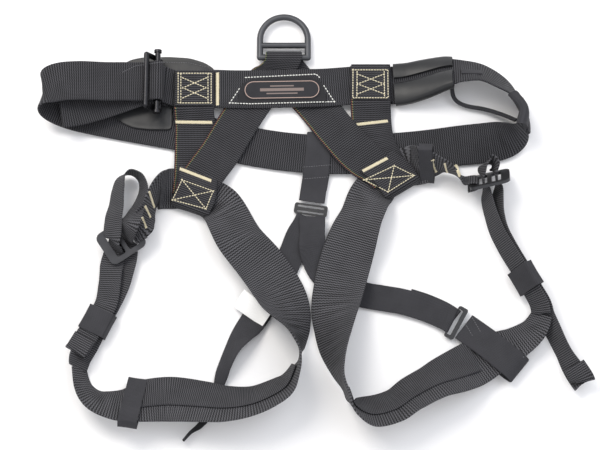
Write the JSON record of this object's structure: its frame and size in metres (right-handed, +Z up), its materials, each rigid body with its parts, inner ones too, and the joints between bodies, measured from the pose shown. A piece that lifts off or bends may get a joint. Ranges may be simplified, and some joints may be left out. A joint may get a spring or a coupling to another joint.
{
  "type": "safety harness",
  "caption": "Rescue sit harness of black webbing, laid flat: waist belt with steel buckle, tie-in straps to a D-ring, and two adjustable leg loops.",
  "frame": {"origin": "middle of the harness on the table it lies on", "axes": "+X across the front towards the wearer's left buckle-free side, +Y up the body towards the D-ring, +Z up from the table"},
  "size_m": [0.5916, 0.4743, 0.0612],
  "materials": {
    "webbing": "ribbed woven nylon, matt",
    "strap_webbing": "ribbed woven nylon, matt",
    "elastic": "fine woven elastic, matt",
    "pad_vinyl": "smooth satin vinyl",
    "label": "woven label, matt",
    "badge": "woven label with a thin printed border",
    "tag": "smooth white synthetic",
    "plastic": "moulded, satin",
    "ring_steel": "dark grey forged steel, satin",
    "buckle_steel": "black coated steel, semi-gloss"
  },
  "bodies": {
    "harness": {"belt_cord": "elastic", "blank_tag": "tag", "cord_band": "elastic", "cord_keeper": "elastic", "front_strap": "webbing", "label_badge": "badge", "label_panel": "label", "left_adjuster_strap": "strap_webbing", "left_band_wrap": "elastic", "left_elastic": "elastic", "left_leg_loop": "webbing", "left_leg_pad": "webbing", "left_leg_wrap": "webbing", "left_pad": "pad_vinyl", "left_riser": "webbing", "left_riser_patch": "webbing", "rear_riser": "elastic", "rear_slide": "plastic", "right_adjuster_strap": "strap_webbing", "right_band_tab": "elastic", "right_elastic": "elastic", "right_leg_loop": "webbing", "right_leg_pad": "webbing", "right_leg_wrap": "webbing", "right_loop_band": "elastic", "right_pad": "pad_vinyl", "right_riser": "webbing", "right_riser_patch": "webbing", "tie_in_strap": "webbing", "waist_anchor_strap": "webbing", "waist_belt": "webbing"},
    "ring": {"d_ring": "ring_steel"},
    "waist_frame": {"waist_buckle_frame": "buckle_steel"},
    "waist_bar": {"waist_buckle_slider": "buckle_steel"},
    "left_buckle": {"left_leg_buckle": "buckle_steel"},
    "right_buckle": {"right_leg_buckle": "buckle_steel"},
    "left_keeper_body": {"left_keeper": "elastic"},
    "right_keeper_body": {"right_keeper": "elastic"},
    "elastic_slide_body": {"right_elastic_slide": "plastic"}
  },
  "joints": [
    {"name": "d_ring_fold", "type": "hinge", "parent": "harness", "child": "ring", "pos_m": [-0.03, 0.185, 0.009], "axis": [1, 0, 0], "range_deg": [0, 135]},
    {"name": "waist_frame_tilt", "type": "hinge", "parent": "harness", "child": "waist_frame", "pos_m": [-0.166, 0.15, 0.0164], "axis": [0, 1, 0], "range_deg": [0, 3]},
    {"name": "waist_bar_slide", "type": "slide", "parent": "waist_frame", "child": "waist_bar", "axis": [-0.5549, 0, 0.8319], "range_m": [-0.0004, 0.0004]},
    {"name": "left_buckle_tilt", "type": "hinge", "parent": "harness", "child": "left_buckle", "pos_m": [-0.18736, -0.01484, 0.02036], "axis": [-0.5515, 0.8227, 0.1377], "range_deg": [-1, 1]},
    {"name": "right_buckle_tilt", "type": "hinge", "parent": "harness", "child": "right_buckle", "pos_m": [0.17408, 0.03884, 0.01586], "axis": [-0.1063, -0.5685, 0.8158], "range_deg": [-2, 2]},
    {"name": "left_keeper_slide", "type": "slide", "parent": "harness", "child": "left_keeper_body", "axis": [0.4509, 0.8926, 0], "range_m": [-0.0015, 0.0015]},
    {"name": "right_keeper_slide", "type": "slide", "parent": "harness", "child": "right_keeper_body", "axis": [-0.4802, 0.8771, 0], "range_m": [-0.0015, 0.0015]},
    {"name": "elastic_slide_shift", "type": "slide", "parent": "harness", "child": "elastic_slide_body", "axis": [0.8746, -0.4848, 0], "range_m": [-0.0004, 0.0004]}
  ]
}
